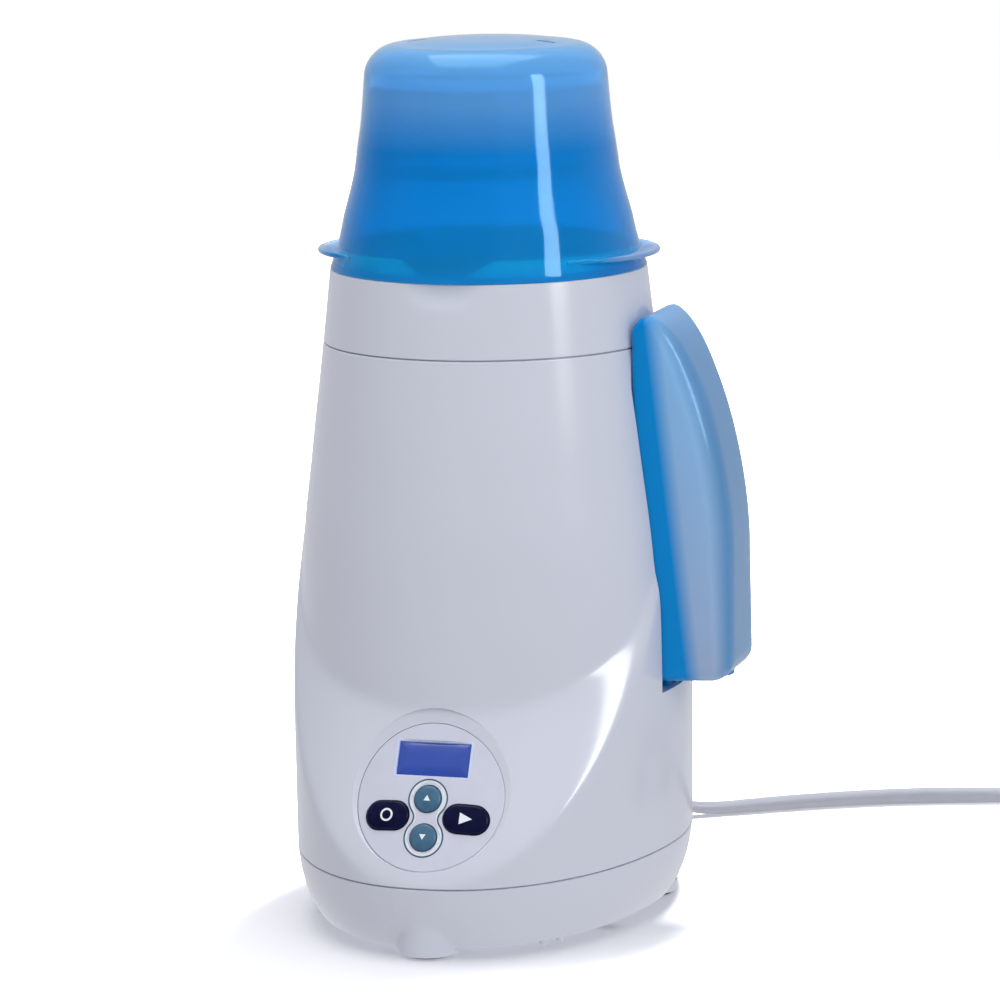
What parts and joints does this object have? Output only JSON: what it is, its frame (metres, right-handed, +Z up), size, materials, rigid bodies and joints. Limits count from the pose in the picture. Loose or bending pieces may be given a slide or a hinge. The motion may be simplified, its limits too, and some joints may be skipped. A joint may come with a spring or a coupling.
{
  "type": "bottle warmer",
  "caption": "Upright steam bottle warmer: tapered oval body with a leaning keypad face, translucent lift-off dome lid, lift-out basket, side water tank and a mains cord.",
  "frame": {"origin": "on the table under the middle of the warmer's box, its cord left out", "axes": "+Z up, the control panel faces -Y, the water tank is on the +X side"},
  "size_m": [0.33, 0.3036, 0.315],
  "materials": {
    "casing_plastic": "pale lavender white, polished moulding",
    "foot_rubber": "matte",
    "screw_steel": "zinc plated",
    "chamber_aluminium": "spun, satin",
    "silicone": "matte",
    "heater_metal": "heat tinted",
    "dark_plastic": "moulded",
    "fuse_ceramic": "glazed",
    "white_plastic": "satin moulding",
    "clear_hose": "milky silicone",
    "panel_plastic": "pale lavender, satin",
    "display_window": "clear",
    "display_blue": "backlit blue display",
    "circuit_board": "solder mask",
    "relay_blue": "moulded",
    "capacitor_yellow": "epoxy case",
    "terminal_green": "moulded",
    "wire_brown": "insulation",
    "lid_plastic": "translucent blue",
    "tank_plastic": "translucent frosted blue",
    "key_navy": "polished",
    "key_teal": "satin",
    "cord_plastic": "soft vinyl",
    "tie_plastic": "wire tie",
    "pin_brass": "nickel plated"
  },
  "bodies": {
    "base": {"main_housing": "casing_plastic", "top_cover": "casing_plastic", "base_cover": "casing_plastic", "rubber_feet": "foot_rubber", "base_screws": "screw_steel", "chamber_liner": "chamber_aluminium", "plate_gasket": "silicone", "heating_plate": "chamber_aluminium", "heater_ring": "heater_metal", "clamp_ring": "screw_steel", "clamp_screws": "screw_steel", "thermostat": "dark_plastic", "thermal_fuse": "fuse_ceramic", "temperature_sensor": "heater_metal", "reservoir_seat": "white_plastic", "seat_gasket": "silicone", "inlet_hose": "clear_hose", "panel_bezel": "panel_plastic", "lcd_window": "display_window", "lcd_module": "display_blue", "control_board": "circuit_board", "board_screws": "screw_steel", "microcontroller": "dark_plastic", "tact_switches": "dark_plastic", "buzzer": "dark_plastic", "power_board": "circuit_board", "power_board_screws": "screw_steel", "transformer": "dark_plastic", "power_relay": "relay_blue", "filter_capacitor": "capacitor_yellow", "terminal_block": "terminal_green", "mains_wires": "wire_brown", "strain_relief": "cord_plastic", "power_cord": "cord_plastic", "cord_coil": "cord_plastic", "cord_tail": "cord_plastic", "cord_tie": "tie_plastic", "power_plug": "cord_plastic", "plug_pins": "pin_brass"},
    "lid": {"lid_dome": "lid_plastic"},
    "basket": {"lift_basket": "white_plastic"},
    "reservoir": {"reservoir_tank": "tank_plastic", "neck_seal": "silicone", "valve_spring": "screw_steel"},
    "fill_cap": {"fill_cap": "tank_plastic", "fill_cap_gasket": "silicone"},
    "valve": {"valve_stem": "white_plastic"},
    "off_key": {"off_button": "key_navy"},
    "start_key": {"start_button": "key_navy"},
    "up_key": {"up_button": "key_teal"},
    "down_key": {"down_button": "key_teal"}
  },
  "joints": [
    {"name": "lid_lift", "type": "slide", "parent": "base", "child": "lid", "axis": [0, 0, 1], "range_m": [0, 0.12]},
    {"name": "basket_lift", "type": "slide", "parent": "base", "child": "basket", "axis": [0, 0, 1], "range_m": [0, 0.05]},
    {"name": "reservoir_lift", "type": "slide", "parent": "base", "child": "reservoir", "axis": [0.1908, 0, 0.9816], "range_m": [0, 0.16]},
    {"name": "fill_cap_turn", "type": "hinge", "parent": "reservoir", "child": "fill_cap", "pos_m": [0.0684, 0.001, 0.087], "axis": [0, 0, -1], "range_deg": [-90, 0]},
    {"name": "valve_lift", "type": "slide", "parent": "reservoir", "child": "valve", "axis": [0, 0, 1], "range_m": [0, 0.0012], "stiffness_N_per_m": 60},
    {"name": "off_press", "type": "slide", "parent": "base", "child": "off_key", "axis": [0, 0.891, -0.454], "range_m": [0, 0.0008], "stiffness_N_per_m": 600},
    {"name": "start_press", "type": "slide", "parent": "base", "child": "start_key", "axis": [0, 0.891, -0.454], "range_m": [0, 0.0008], "stiffness_N_per_m": 600},
    {"name": "up_press", "type": "slide", "parent": "base", "child": "up_key", "axis": [0, 0.891, -0.454], "range_m": [0, 0.0008], "stiffness_N_per_m": 600},
    {"name": "down_press", "type": "slide", "parent": "base", "child": "down_key", "axis": [0, 0.891, -0.454], "range_m": [0, 0.0008], "stiffness_N_per_m": 600}
  ]
}
